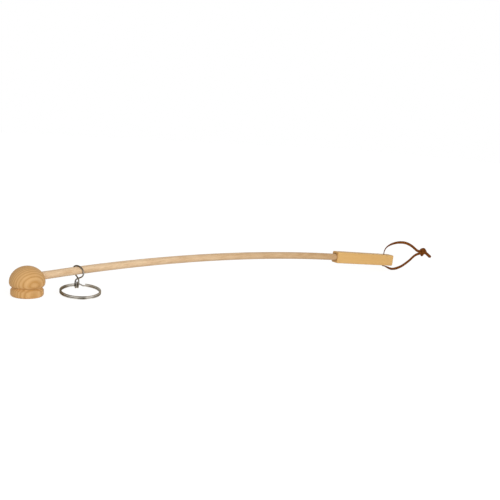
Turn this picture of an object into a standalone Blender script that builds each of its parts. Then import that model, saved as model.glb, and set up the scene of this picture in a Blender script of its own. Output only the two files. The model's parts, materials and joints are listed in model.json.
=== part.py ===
"""A long wooden stick that lies on a table: a turned mushroom head on a bent round rod, a square
handle with a leather lace loop, and a split ring that hangs on the rod from a figure-eight wire link.

Metres, +Z up. The origin is the middle of the head's flat base, and the rod runs towards +X.
"""

import math

import bmesh
import bpy
from mathutils import Matrix, Vector

MM = 0.001

# Clearance between pieces that are seated in or on each other
SEAT_GAP = 0.3 * MM

# Turned head: a dome over a groove and a flat-bottomed base disc
HEAD_DIAMETER = 42.0 * MM
HEAD_HEIGHT = 36.4 * MM
HEAD_WIDEST_HEIGHT = 17.0 * MM
GROOVE_DIAMETER = 34.8 * MM
GROOVE_HEIGHT = 11.6 * MM
BASE_DIAMETER = 38.6 * MM
BASE_RIM_HEIGHT = 8.0 * MM
BASE_EDGE_RADIUS = 3.0 * MM
HEAD_BORE_DEPTH = 18.0 * MM
HEAD_SEGMENTS = 40

# Bent round rod: straight tenons in the head and the handle, one even bend between them
ROD_DIAMETER = 10.0 * MM
ROD_BEND_RADIUS = 2500.0 * MM
ROD_FREE_LENGTH = 457.0 * MM
ROD_HEIGHT_IN_HEAD = 21.7 * MM
ROD_RISE = math.radians(5.6)
ROD_BEND_STEPS = 22

# Square handle with a cross hole for the lace
HANDLE_LENGTH = 119.5 * MM
HANDLE_HEIGHT = 17.4 * MM
HANDLE_WIDTH = 15.2 * MM
HANDLE_EDGE_RADIUS = 2.2 * MM
HANDLE_BORE_DEPTH = 26.0 * MM
LACE_HOLE_DIAMETER = 5.6 * MM
LACE_HOLE_TO_END = 16.2 * MM

# Figure-eight wire link: a loose loop over the rod and a double-hooked eye round the ring
LINK_WIRE_DIAMETER = 1.9 * MM
LINK_PLACE = 42.5 * MM
LINK_LEAN = math.radians(23.0)
LINK_TURN = math.radians(38.0)
LINK_EYE_DROP = 22.0 * MM
LINK_CROSSING_DROP = 12.4 * MM
LINK_EYE_CLEARANCE = 0.35 * MM
LINK_LOOP_STEPS = 26
LINK_EYE_STEPS = 12

# Split ring of flat wire, two turns that step past each other once
RING_DIAMETER = 50.0 * MM
RING_WIRE_WIDTH = 2.2 * MM
RING_WIRE_THICKNESS = 1.6 * MM
RING_TURN_GAP = 0.5 * MM
RING_HEADING = math.radians(10.0)
RING_STEP_FROM_EYE = math.radians(-13.0)
RING_STEP_LENGTH = 6.0 * MM
RING_POINTS_PER_TURN = 40

# Flat leather lace, tied into a loop through the handle
LACE_WIDTH = 4.4 * MM
LACE_THICKNESS = 1.4 * MM
KNOT_LENGTH = 12.4 * MM
KNOT_WIDTH = 11.6 * MM
KNOT_HEIGHT = 14.4 * MM
KNOT_BULGE = 0.06
TAIL_LENGTH = 13.5 * MM
TAIL_EXIT = math.radians(11.0)
TAIL_FALL = math.radians(31.0)
LACE_STEP = 3.4 * MM

# Lace route, in millimetres: along and across from the middle of the lace hole, up from the table
LACE_KNOT_PLACE = (90.0, -1.0, 26.5)
LACE_UPPER_ROUTE = [
    (1.0, 0.2, 29.6), (2.5, 0.5, 33.2), (5.4, 0.9, 36.6), (10.2, 1.4, 39.6), (17.1, 1.9, 42.0),
    (24.8, 2.2, 43.6), (32.7, 2.3, 44.4), (41.6, 2.1, 44.3), (49.8, 1.7, 43.2), (58.3, 1.1, 40.4),
    (65.5, 0.4, 36.8), (71.5, -0.2, 32.9), (76.8, -0.4, 29.7),
]
LACE_LOWER_ROUTE = [
    (2.0, 0.3, 7.7), (6.3, -0.2, 6.5), (10.6, -1.1, 4.8), (15.2, -1.7, 3.0), (20.6, -2.3, 1.8),
    (27.2, -2.6, 2.2), (34.2, -2.7, 3.6), (41.4, -2.6, 5.7), (49.8, -2.3, 9.4), (59.0, -1.9, 14.3),
    (65.4, -1.6, 18.5), (71.2, -1.3, 21.8), (76.7, -1.5, 23.8),
]
# How far the lace's flat side is turned along each run, from the hole to the knot
LACE_UPPER_TURN = [math.radians(a) for a in (45.0, 45.0, 15.0, 0.0, 0.0)]
LACE_LOWER_TURN = [math.radians(a) for a in (90.0, 95.0, 45.0, 0.0, 0.0, 0.0, 0.0, 0.0, 0.0)]

# Colours with roughness and metallic values
FINISHES = {
    "head_wood": ((0.67, 0.39, 0.17), 0.45, 0.0),
    "rod_wood": ((0.75, 0.52, 0.31), 0.55, 0.0),
    "handle_wood": ((0.71, 0.43, 0.16), 0.5, 0.0),
    "steel_wire": ((0.62, 0.60, 0.56), 0.22, 1.0),
    "lace_leather": ((0.19, 0.07, 0.025), 0.7, 0.0),
}

PARTS = "long_stick"
CUTTERS = "cutters"


def clear_scene():
    for old in list(bpy.data.objects):
        bpy.data.objects.remove(old)


def collection(name):
    made = bpy.data.collections.new(name)
    bpy.context.scene.collection.children.link(made)
    return made


def finish(name):
    """The Principled material of that name, made once."""
    found = bpy.data.materials.get(name)
    if found:
        return found
    colour, roughness, metallic = FINISHES[name]
    made = bpy.data.materials.new(name)
    made.use_nodes = True
    shader = made.node_tree.nodes["Principled BSDF"]
    shader.inputs["Base Color"].default_value = (*colour, 1.0)
    shader.inputs["Roughness"].default_value = roughness
    shader.inputs["Metallic"].default_value = metallic
    return made


def place(name, data, material, into=PARTS):
    """A new object in one of the two collections, with its material."""
    made = bpy.data.objects.new(name, data)
    bpy.data.collections[into].objects.link(made)
    if material:
        data.materials.append(finish(material))
    return made


def smooth(mesh, angle=math.radians(35.0)):
    mesh.shade_smooth()
    mesh.set_sharp_from_angle(angle=angle)


def cut(target, cutter):
    """Cuts the solid of another object out of the target."""
    cutter.hide_render = True
    cutter.display_type = "WIRE"
    boolean = target.modifiers.new(cutter.name, "BOOLEAN")
    boolean.operation = "DIFFERENCE"
    boolean.object = cutter


def drill(name, mouth, direction, diameter, depth, sides=24):
    """A round cutter that reaches depth from the mouth against the direction, and as far outside it."""
    mesh = bpy.data.meshes.new(name)
    shape = bmesh.new()
    bmesh.ops.create_cone(
        shape, cap_ends=True, segments=sides, radius1=diameter / 2, radius2=diameter / 2, depth=2 * depth
    )
    shape.to_mesh(mesh)
    shape.free()
    made = place(name, mesh, None, CUTTERS)
    made.matrix_world = Matrix.Translation(mouth) @ direction.to_track_quat("Z", "Y").to_matrix().to_4x4()
    return made


def wire(name, points, material, radius=0.0, sides=8):
    """An open polyline curve with filled ends, and a round section where a radius is given."""
    curve = bpy.data.curves.new(name, "CURVE")
    curve.dimensions = "3D"
    curve.use_fill_caps = True
    curve.bevel_depth = radius
    curve.bevel_resolution = sides // 2 - 2
    spline = curve.splines.new("POLY")
    spline.points.add(len(points) - 1)
    for spot, point in zip(spline.points, points):
        spot.co = (*point, 1.0)
    spline.use_smooth = True
    return place(name, curve, material)


def smooth_route(keys, step):
    """Points about a step apart on a smooth curve through the key points."""
    ends = [2 * keys[0] - keys[1], *keys, 2 * keys[-1] - keys[-2]]
    points = []
    for before, start, stop, after in zip(ends, ends[1:], ends[2:], ends[3:]):
        count = max(1, round((stop - start).length / step))
        for i in range(count):
            t = i / count
            points.append(
                0.5
                * (
                    2 * start
                    + (stop - before) * t
                    + (2 * before - 5 * start + 4 * stop - after) * t**2
                    + (3 * start - before - 3 * stop + after) * t**3
                )
            )
    return [*points, keys[-1].copy()]


def least_gap(points, thickness, apart):
    """The least clear distance between two stretches of one wire that are at least apart along it."""
    along = [0.0]
    for a, b in zip(points, points[1:]):
        along.append(along[-1] + (b - a).length)
    return min(
        (points[i] - points[j]).length - thickness
        for i in range(len(points))
        for j in range(i)
        if along[i] - along[j] > apart
    )


# The rod's line, which every piece on it is placed from

def heading(angle):
    """The direction at that angle above +X, in the upright plane of the rod."""
    return Vector((math.cos(angle), 0.0, math.sin(angle)))


ROD_EXIT = Vector((0.0, 0.0, ROD_HEIGHT_IN_HEAD)) + heading(ROD_RISE) * HEAD_DIAMETER / 2
BEND_CENTRE = ROD_EXIT + heading(ROD_RISE - math.pi / 2) * ROD_BEND_RADIUS
HANDLE_ANGLE = ROD_RISE - ROD_FREE_LENGTH / ROD_BEND_RADIUS


def rod_angle(distance):
    """The rod's slope at a distance along it from where it leaves the head."""
    return ROD_RISE - min(max(distance, 0.0), ROD_FREE_LENGTH) / ROD_BEND_RADIUS


def rod_point(distance):
    bent = min(max(distance, 0.0), ROD_FREE_LENGTH)
    angle = rod_angle(bent)
    return BEND_CENTRE + heading(angle + math.pi / 2) * ROD_BEND_RADIUS + heading(angle) * (distance - bent)


HANDLE_FACE = rod_point(ROD_FREE_LENGTH)
HANDLE_TURN = Matrix.Rotation(-HANDLE_ANGLE, 4, "Y")
LACE_HOLE = HANDLE_FACE + heading(HANDLE_ANGLE) * (HANDLE_LENGTH - LACE_HOLE_TO_END)


def head_profile():
    """The head's outline from the top of the dome down to the middle of the base, as (radius, height)."""
    widest, groove, base = HEAD_DIAMETER / 2, GROOVE_DIAMETER / 2, BASE_DIAMETER / 2
    dome_rise = HEAD_HEIGHT - HEAD_WIDEST_HEIGHT
    dome = [math.radians(90.0 - 9.0 * i) for i in range(11)]
    points = [(widest * math.cos(a), HEAD_WIDEST_HEIGHT + dome_rise * math.sin(a)) for a in dome]
    # the dome rolls under to the groove
    tuck = HEAD_WIDEST_HEIGHT - GROOVE_HEIGHT
    for i in range(1, 6):
        a = math.radians(18.0 * i)
        points.append((groove + (widest - groove) * math.cos(a), HEAD_WIDEST_HEIGHT - tuck * math.sin(a)))
    # the groove's floor slopes out to the base's rim
    points.append((groove + 0.06 * (base - groove), GROOVE_HEIGHT - 0.4 * (GROOVE_HEIGHT - BASE_RIM_HEIGHT)))
    points.append((base, BASE_RIM_HEIGHT))
    for i in range(5):
        a = math.radians(22.5 * i)
        points.append(
            (
                base - BASE_EDGE_RADIUS * (1 - math.cos(a)),
                BASE_EDGE_RADIUS * (1 - math.sin(a)),
            )
        )
    points[0] = (0.0, HEAD_HEIGHT)
    return [*points, (0.0, 0.0)]


def make_head():
    mesh = bpy.data.meshes.new("mushroom_head")
    shape = bmesh.new()
    corners = [shape.verts.new((radius, 0.0, height)) for radius, height in head_profile()]
    for a, b in zip(corners, corners[1:]):
        shape.edges.new((a, b))
    shape.to_mesh(mesh)
    shape.free()
    head = place("mushroom_head", mesh, "head_wood")
    turned = head.modifiers.new("turned", "SCREW")
    turned.steps = turned.render_steps = HEAD_SEGMENTS
    turned.use_merge_vertices = True
    turned.merge_threshold = 0.00001
    turned.use_smooth_shade = True
    bore = drill("head_bore", ROD_EXIT, heading(ROD_RISE), ROD_DIAMETER + 2 * SEAT_GAP, HEAD_BORE_DEPTH)
    cut(head, bore)


def make_rod():
    start = SEAT_GAP - HEAD_BORE_DEPTH
    stop = ROD_FREE_LENGTH + HANDLE_BORE_DEPTH - SEAT_GAP
    bend = [ROD_FREE_LENGTH * i / ROD_BEND_STEPS for i in range(ROD_BEND_STEPS + 1)]
    points = [rod_point(distance) for distance in (start, *bend, stop)]
    wire("curved_rod", points, "rod_wood", ROD_DIAMETER / 2, sides=20)


def make_handle():
    bpy.ops.mesh.primitive_cube_add(size=1.0)
    handle = bpy.context.object
    handle.name = handle.data.name = "square_handle"
    for old in list(handle.users_collection):
        old.objects.unlink(handle)
    bpy.data.collections[PARTS].objects.link(handle)
    handle.data.transform(Matrix.Diagonal((HANDLE_LENGTH, HANDLE_WIDTH, HANDLE_HEIGHT, 1.0)))
    handle.data.materials.append(finish("handle_wood"))
    middle = HANDLE_FACE + heading(HANDLE_ANGLE) * HANDLE_LENGTH / 2
    handle.matrix_world = Matrix.Translation(middle) @ HANDLE_TURN
    eased = handle.modifiers.new("eased_edges", "BEVEL")
    eased.width = HANDLE_EDGE_RADIUS
    eased.segments = 3
    eased.limit_method = "ANGLE"
    outward = -heading(HANDLE_ANGLE)
    cut(handle, drill("handle_bore", HANDLE_FACE, outward, ROD_DIAMETER + 2 * SEAT_GAP, HANDLE_BORE_DEPTH))
    up = heading(HANDLE_ANGLE + math.pi / 2)
    cut(handle, drill("lace_hole", LACE_HOLE, up, LACE_HOLE_DIAMETER, HANDLE_HEIGHT, sides=20))
    smooth(handle.data)


# The ring's wire, and the way it runs through the link's eye

RING_MEAN_RADIUS = (RING_DIAMETER - RING_WIRE_WIDTH) / 2
RING_PITCH = RING_WIRE_THICKNESS + RING_TURN_GAP
RING_HEIGHT = RING_PITCH + RING_WIRE_THICKNESS
RING_TANGENT = Vector((math.cos(RING_HEADING), -math.sin(RING_HEADING), 0.0))

# The link's plane: down from the rod to the eye, across the link, and through it

LINK_TOP = rod_point(LINK_PLACE)
LINK_ALONG = heading(rod_angle(LINK_PLACE))
LINK_DOWN = Matrix.Rotation(LINK_LEAN, 3, LINK_ALONG) @ -heading(rod_angle(LINK_PLACE) + math.pi / 2)
LINK_THROUGH = Matrix.Rotation(-LINK_TURN, 3, LINK_DOWN) @ LINK_ALONG
LINK_EYE = LINK_TOP + LINK_DOWN * LINK_EYE_DROP
LINK_SIDE_STEP = (LINK_WIRE_DIAMETER + 2 * SEAT_GAP) / 2
LINK_EYE_BORE = math.hypot(RING_WIRE_WIDTH, RING_HEIGHT) + 2 * LINK_EYE_CLEARANCE


def eye_twist():
    """How far the eye is twisted from the loop, to face along the ring's wire."""
    faced = RING_TANGENT - LINK_DOWN * RING_TANGENT.dot(LINK_DOWN)
    return math.atan2(LINK_THROUGH.cross(faced).dot(LINK_DOWN), LINK_THROUGH.dot(faced))


def link_points():
    """The link's wire from one hook of the eye, over the rod, to the other hook."""
    hang = ROD_DIAMETER / 2 + SEAT_GAP + LINK_WIRE_DIAMETER / 2
    loop = ROD_DIAMETER / 2 / math.cos(LINK_TURN) + 2 * SEAT_GAP + LINK_WIRE_DIAMETER / 2
    loop_middle = loop - hang
    eye = (LINK_EYE_BORE + LINK_WIRE_DIAMETER) / 2
    flat = []
    # the hook wraps under the ring from one side of the eye to the other
    for i in range(LINK_EYE_STEPS + 1):
        a = math.radians(-35.0 + 225.0 * i / LINK_EYE_STEPS)
        flat.append((-eye * math.cos(a), LINK_EYE_DROP + eye * math.sin(a), 1.0))
    flat.append((0.42 * eye, (LINK_EYE_DROP + 2 * LINK_CROSSING_DROP) / 3, 1.0))
    flat.append((0.0, LINK_CROSSING_DROP, 1.0))
    half_loop = LINK_LOOP_STEPS // 2
    for i in range(half_loop + 1):
        share = i / half_loop
        a = math.radians(48.0 - 138.0 * share)
        flat.append((-loop * math.cos(a), loop_middle + loop * math.sin(a), 1.0 - share))
    mirrored = [(-across, down, -through) for across, down, through in reversed(flat[:-1])]
    twist = eye_twist()
    points = []
    for across, down, through in [*flat, *mirrored]:
        share = (down - LINK_CROSSING_DROP) / (LINK_EYE_DROP - LINK_CROSSING_DROP)
        turned = Matrix.Rotation(twist * min(max(share, 0.0), 1.0), 3, LINK_DOWN)
        forth = turned @ LINK_THROUGH
        points.append(
            LINK_TOP
            + LINK_DOWN * down
            + LINK_DOWN.cross(forth) * across
            + forth * through * LINK_SIDE_STEP
        )
    return points


def make_link():
    points = smooth_route(link_points(), 1.2 * MM)
    gap = least_gap(smooth_route(link_points(), 0.3 * MM), LINK_WIRE_DIAMETER, 4 * LINK_WIRE_DIAMETER)
    print("wire_link least gap to itself, mm:", round(gap / MM, 3))
    wire("wire_link", points, "steel_wire", LINK_WIRE_DIAMETER / 2, sides=8)


# The split ring lies from the link's eye down to the table in front of the rod


def ring_fall():
    """The ring's slope, at which its outer edge just meets the table."""
    reach = RING_MEAN_RADIUS + RING_DIAMETER / 2
    half = RING_HEIGHT / 2
    return math.asin(LINK_EYE.z / math.hypot(reach, half)) - math.atan2(half, reach)


RING_FORWARD = Matrix.Rotation(ring_fall(), 3, RING_TANGENT) @ Vector(
    (-math.sin(RING_HEADING), -math.cos(RING_HEADING), 0.0)
)
RING_AXIS = RING_FORWARD.cross(RING_TANGENT)
RING_CENTRE = LINK_EYE + RING_FORWARD * RING_MEAN_RADIUS


def ring_points(count):
    """The middle of the ring's wire, from the lower turn's end, up the step, to the upper turn's end."""
    step = RING_STEP_LENGTH / RING_MEAN_RADIUS
    start, stop = 0.85 * step, 4 * math.pi - 0.85 * step
    points = []
    for i in range(count + 1):
        turned = start + (stop - start) * i / count
        share = min(max((turned - 2 * math.pi) / step + 0.5, 0.0), 1.0)
        level = share * share * (3 - 2 * share) - 0.5
        angle = turned + RING_STEP_FROM_EYE
        outward = RING_TANGENT * math.sin(-angle) - RING_FORWARD * math.cos(angle)
        points.append(RING_CENTRE + outward * RING_MEAN_RADIUS + RING_AXIS * level * RING_PITCH)
    return points


def make_ring():
    points = ring_points(2 * RING_POINTS_PER_TURN)
    gap = least_gap(ring_points(20 * RING_POINTS_PER_TURN), RING_WIRE_THICKNESS, math.pi * RING_MEAN_RADIUS)
    print("split_ring least gap to itself, mm:", round(gap / MM, 3))
    section = bpy.data.curves.new("ring_wire_section", "CURVE")
    section.dimensions = "2D"
    outline = section.splines.new("POLY")
    half_width, half_thick = RING_WIRE_WIDTH / 2, RING_WIRE_THICKNESS / 2
    ease = 0.3 * RING_WIRE_THICKNESS
    corners = [
        (half_width, half_thick - ease), (half_width - ease, half_thick),
        (ease - half_width, half_thick), (-half_width, half_thick - ease),
        (-half_width, ease - half_thick), (ease - half_width, -half_thick),
        (half_width - ease, -half_thick), (half_width, ease - half_thick),
    ]
    outline.points.add(len(corners) - 1)
    for spot, corner in zip(outline.points, reversed(corners)):
        spot.co = (*corner, 0.0, 1.0)
    outline.use_cyclic_u = True
    guide = place("ring_wire_section", section, None, CUTTERS)
    guide.hide_render = True
    to_flat = Matrix((RING_TANGENT, -RING_FORWARD, RING_AXIS)).to_4x4()
    local = [to_flat @ (point - RING_CENTRE) for point in points]
    ring = wire("split_ring", local, "steel_wire")
    ring.data.twist_mode = "Z_UP"
    ring.data.bevel_mode = "OBJECT"
    ring.data.bevel_object = guide
    ring.matrix_world = Matrix.Translation(RING_CENTRE) @ to_flat.inverted()


# The lace

def lace_point(route_point):
    along, across, up = (value * MM for value in route_point)
    return Vector((LACE_HOLE.x + along, across, up))


def make_lace_run(name, side, route, turns):
    """One run of the lace, from the middle of the handle's hole, out of one mouth, to the knot."""
    up = heading(HANDLE_ANGLE + math.pi / 2) * side
    inside = [LACE_HOLE + up * SEAT_GAP / 2, LACE_HOLE + up * HANDLE_HEIGHT / 2]
    free = [lace_point(point) for point in route]
    # the two runs lie side by side where they enter the knot
    beside = side * (LACE_THICKNESS / 2 + SEAT_GAP)
    entry = lace_point(LACE_KNOT_PLACE) + Vector((-0.5 * KNOT_LENGTH - SEAT_GAP, beside, beside))
    points = smooth_route([*inside, *free, entry], LACE_STEP)
    run = wire(name, points, "lace_leather", LACE_THICKNESS / 2)
    run.data.extrude = (LACE_WIDTH - LACE_THICKNESS) / 2
    run.data.twist_mode = "MINIMUM"
    spots = run.data.splines[0].points
    for i, spot in enumerate(spots):
        at = i / (len(spots) - 1) * (len(turns) - 1)
        low = min(int(at), len(turns) - 2)
        spot.tilt = turns[low] + (turns[low + 1] - turns[low]) * (at - low)


def make_knot():
    middle = lace_point(LACE_KNOT_PLACE)
    mesh = bpy.data.meshes.new("lace_knot")
    shape = bmesh.new()
    bmesh.ops.create_uvsphere(shape, u_segments=16, v_segments=10, radius=0.5)
    # three wraps bulge out of the ball
    for corner in shape.verts:
        around = math.atan2(corner.co.z, corner.co.x)
        corner.co *= 1.0 + KNOT_BULGE * math.cos(3 * around + 0.6)
    shape.to_mesh(mesh)
    shape.free()
    mesh.transform(Matrix.Diagonal((KNOT_LENGTH, KNOT_WIDTH, KNOT_HEIGHT, 1.0)))
    mesh.shade_smooth()
    knot = place("lace_knot", mesh, "lace_leather")
    knot.location = middle


def make_tail():
    middle = lace_point(LACE_KNOT_PLACE)
    fall = heading(-TAIL_FALL)
    # the lower corner of the tail's end just clears the knot
    reach = (KNOT_LENGTH * (1 + KNOT_BULGE) + LACE_WIDTH * math.sin(TAIL_FALL - TAIL_EXIT)) / 2 + SEAT_GAP
    start = middle + heading(-TAIL_EXIT) * reach
    points = [start + fall * TAIL_LENGTH * i / 4 for i in range(5)]
    tail = wire("lace_tail", points, "lace_leather", LACE_THICKNESS)
    tail.data.extrude = LACE_WIDTH / 2 - LACE_THICKNESS
    tail.data.twist_mode = "Z_UP"


def main():
    clear_scene()
    collection(PARTS)
    collection(CUTTERS)
    make_head()
    make_rod()
    make_handle()
    make_link()
    make_ring()
    make_lace_run("lace_upper_run", 1, LACE_UPPER_ROUTE, LACE_UPPER_TURN)
    make_lace_run("lace_lower_run", -1, LACE_LOWER_ROUTE, LACE_LOWER_TURN)
    make_knot()
    make_tail()
    print("bend centre", BEND_CENTRE, "link top", LINK_TOP, "link eye", LINK_EYE)
    print("ring tangent", RING_TANGENT, "ring centre", RING_CENTRE, "ring fall", math.degrees(ring_fall()))
    print("handle face", HANDLE_FACE, "handle angle", math.degrees(HANDLE_ANGLE), "lace hole", LACE_HOLE)


main()
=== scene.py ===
"""Dresses the long wooden stick: a turned head, a bent rod, a square handle with a leather lace loop,
and a split ring on a wire link, lying on a white table."""

import json
import math

import bmesh
import bpy
from bpy.props import FloatProperty, FloatVectorProperty, PointerProperty
from mathutils import Matrix, Vector


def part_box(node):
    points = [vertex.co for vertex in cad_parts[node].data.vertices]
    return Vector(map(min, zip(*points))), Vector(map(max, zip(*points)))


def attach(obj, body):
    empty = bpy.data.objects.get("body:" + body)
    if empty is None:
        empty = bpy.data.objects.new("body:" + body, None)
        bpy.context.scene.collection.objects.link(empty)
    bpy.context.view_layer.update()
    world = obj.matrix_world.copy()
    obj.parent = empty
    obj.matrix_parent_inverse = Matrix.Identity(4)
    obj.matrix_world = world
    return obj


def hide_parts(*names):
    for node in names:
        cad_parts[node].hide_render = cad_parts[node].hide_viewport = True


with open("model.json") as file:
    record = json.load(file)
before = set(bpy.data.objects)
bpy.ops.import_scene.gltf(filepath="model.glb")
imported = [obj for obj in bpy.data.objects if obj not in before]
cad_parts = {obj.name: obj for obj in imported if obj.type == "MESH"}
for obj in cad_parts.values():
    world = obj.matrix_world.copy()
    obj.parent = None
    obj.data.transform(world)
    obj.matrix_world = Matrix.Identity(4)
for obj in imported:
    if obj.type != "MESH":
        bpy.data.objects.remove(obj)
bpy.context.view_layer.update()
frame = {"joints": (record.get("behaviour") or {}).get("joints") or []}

bl_info = {
    "name": "Long wooden stick with split ring",
    "version": (1, 0, 0),
    "blender": (4, 5, 0),
    "location": "3D View > Sidebar > Stick",
    "description": "Builds a wooden stick with a turned head, a handle, a lace loop and a split ring",
    "category": "Object",
}

MM = 0.001
STICK, LINK, RING = "stick", "link", "ring"
BEND_CENTRE = Vector(frame["joints"][0]["pos_m"])
LINK_EYE = Vector(frame["joints"][1]["pos_m"])
RING_TANGENT = Vector(frame["joints"][1]["axis"]).normalized()
HEAD_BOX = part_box("mushroom_head")
RING_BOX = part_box("split_ring")
RING_MIDDLE = (RING_BOX[0] + RING_BOX[1]) / 2
# Level directions from the ring's middle, to its right side and to its near side
RING_SIDE = Vector((0.929, -0.370, 0.0))
RING_NEAR = Vector((-0.370, -0.929, 0.0))
# Painted reflections round the ring, as tarnish levels in dark and bright bands, by share of a turn
# from its left side over its back
RING_PAINTED_REFLECTIONS = (
    (0.0, 1.0), (0.11, 0.85), (0.15, 0.1), (0.19, 0.1), (0.22, 0.55), (0.265, 0.5),
    (0.29, 0.1), (0.31, 0.15), (0.34, 0.5), (0.60, 0.6), (0.635, 0.5), (0.665, 0.0),
    (0.695, 0.1), (0.722, 0.8), (0.78, 0.05), (0.86, 0.6), (0.90, 0.95), (1.0, 1.0),
)

# Lace route in metres: along and across from the middle of the lace hole, up from the table
LACE_UPPER_ROUTE = [
    (0.0010, 0.0002, 0.0296), (0.0025, 0.0005, 0.0332), (0.0054, 0.0009, 0.0366),
    (0.0102, 0.0014, 0.0396), (0.0171, 0.0019, 0.0420), (0.0248, 0.0022, 0.0436),
    (0.0327, 0.0023, 0.0444), (0.0416, 0.0021, 0.0443), (0.0498, 0.0017, 0.0432),
    (0.0583, 0.0011, 0.0404), (0.0655, 0.0004, 0.0368), (0.0715, -0.0002, 0.0329),
    (0.0768, -0.0004, 0.0297),
]
LACE_LOWER_ROUTE = [
    (0.0020, 0.0003, 0.0077), (0.0063, -0.0002, 0.0065), (0.0106, -0.0011, 0.0048),
    (0.0152, -0.0017, 0.0030), (0.0206, -0.0023, 0.0018), (0.0272, -0.0026, 0.0022),
    (0.0342, -0.0027, 0.0036), (0.0414, -0.0026, 0.0057), (0.0498, -0.0023, 0.0094),
    (0.0590, -0.0019, 0.0143), (0.0654, -0.0016, 0.0185), (0.0712, -0.0013, 0.0218),
    (0.0767, -0.0015, 0.0238),
]
# How far the flat lace is turned about its line, in degrees at even steps along each run
LACE_UPPER_TURN = (45.0, 45.0, 15.0, 0.0, 0.0)
LACE_LOWER_TURN = (90.0, 95.0, 45.0, 0.0, 0.0, 0.0, 0.0, 0.0, 0.0)
LACE_KNOT_PLACE = (0.0900, -0.0010, 0.0265)
LACE_POINT_STEP = 1.5 * MM
# The knot's curve before it is scaled: its half reach across, its reach upright and its lift
KNOT_ACROSS, KNOT_UPRIGHT, KNOT_LIFT = 2.73, 5.06, 0.47
# How deep the knot's strand weaves, in strand radii, and how far the knot leans, in degrees
KNOT_WEAVE, KNOT_LEAN, KNOT_POINTS = 1.05, 20.0, 96
# As shares of the knot's length: its bulge, how far before its middle the runs stop, and how deep
# in it the two ends start
KNOT_BULGE, RUN_ROOT, TAIL_ROOT = 0.06, 0.40, 0.35
TAIL_POINT_STEP = 1.0 * MM
# How far apart the two ends start, in half thicknesses, and how far they spread and sag
TAIL_APART, TAIL_SPREAD, TAIL_SAG = 1.05, 0.35 * MM, 0.5 * MM
# Where an end bows, as a share of its length, and its share of the sag there
TAIL_BOW, TAIL_BOW_SAG = 0.4, 0.3
# Names of the lace's two ends, the side each lies on and its share of the tail's length
TAILS = (("lace_end_front", -1.0, 1.0), ("lace_end_back", 1.0, 0.93))

# The link's bends: where the eye and the loop start and how far they turn, in degrees
EYE_START, EYE_TURN, EYE_STEPS = -35.0, 225.0, 12
LOOP_START, LOOP_TURN, LOOP_STEPS = 48.0, 138.0, 13
LINK_NECK = 0.42
LINK_POINT_STEP = 0.45 * MM
LINK_TARNISH = 0.8

# From the middle of the ring's step to each end of its wire, in steps, and the rounding of the
# wire's corners as a share of its thickness
RING_END, RING_CORNER = 0.85, 0.3

# The turned rim of the head's base disc, and the groove's flare above it
RIM_ROUND, RIM_DROP = 0.25 * MM, 0.12 * MM
FLARE_WIDTH, FLARE_DROP = 0.06, 0.4

# The tree's heart behind the head, and its years per metre
PITH_PLACE = (-0.0070, 0.0590, 0.0)
PITH_TILT = (math.radians(3.0), math.radians(-1.0), 0.0)
YEARS_PER_METRE, YEAR_PHASE = 380.0, 0.80
GRAIN_SLANT = (0.0, 0.06, 0.06)

# Sides and steps of the round forms, and the angle above which an edge stays sharp, in degrees
HOLE_SIDES, HEAD_SIDES, ROD_SIDES = 64, 128, 40
DOME_STEPS, ROLL_STEPS, EDGE_STEPS = 28, 14, 10
HANDLE_EDGE_STEPS, RING_EDGE_STEPS = 6, 4
LINK_ROUND_STEPS, KNOT_ROUND_STEPS, LACE_ROUND_STEPS = 6, 4, 3
ROD_STEPS, TURN_STEPS, STEP_PARTS = 60, 140, 12
SHARP, RING_SHARP = 35.0, 50.0
MERGE_DISTANCE = 0.001 * MM

# Lamps by name, place, size and power
LAMPS = (
    ("key_light", (0.15, -1.4, 0.55), 0.7, 10.5),
    ("fill_light", (-1.2, -0.9, 0.6), 0.8, 3.8),
)
LAMP_TARGET = Vector((0.3, 0.0, 0.02))
# The backdrop's level direction, the room's light and the dim room that the wire mirrors
BACKDROP_SIDE = (0.566, 0.824, 0.0)
ROOM_LIGHT, DIM_ROOM = 0.45, 0.10
# The table, its white near the stick, how far that reaches, and the depth of the shadow
TABLE_SIZE = 6.0
TABLE_MIDDLE = (0.3, 0.0, 0.0)
NEAR_WHITE, NEAR_REACH, FAR_REACH = 0.88, 0.5, 1.6
SHADOW_DEPTH = 0.25

# The photo's camera
CAMERA_PLACE = Vector((-0.277813, -0.866607, 0.218102))
CAMERA_RIGHT = Vector((0.8284711, -0.5560889, 0.0663386))
CAMERA_UP = Vector((0.0371493, 0.1727632, 0.9842626))
CAMERA_LENS, CAMERA_SENSOR, CAMERA_CLIP = 54.0, 36.0, 0.01


# Sizes and colours

def length(name, description, default):
    return FloatProperty(name=name, description=description, default=default, min=0.0, unit="LENGTH")


def angle(name, description, degrees):
    default = math.radians(degrees)
    return FloatProperty(name=name, description=description, default=default, unit="ROTATION")


def colour(name, description, default):
    return FloatVectorProperty(
        name=name, description=description, default=default, size=3, min=0.0, max=1.0, subtype="COLOR"
    )


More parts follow.
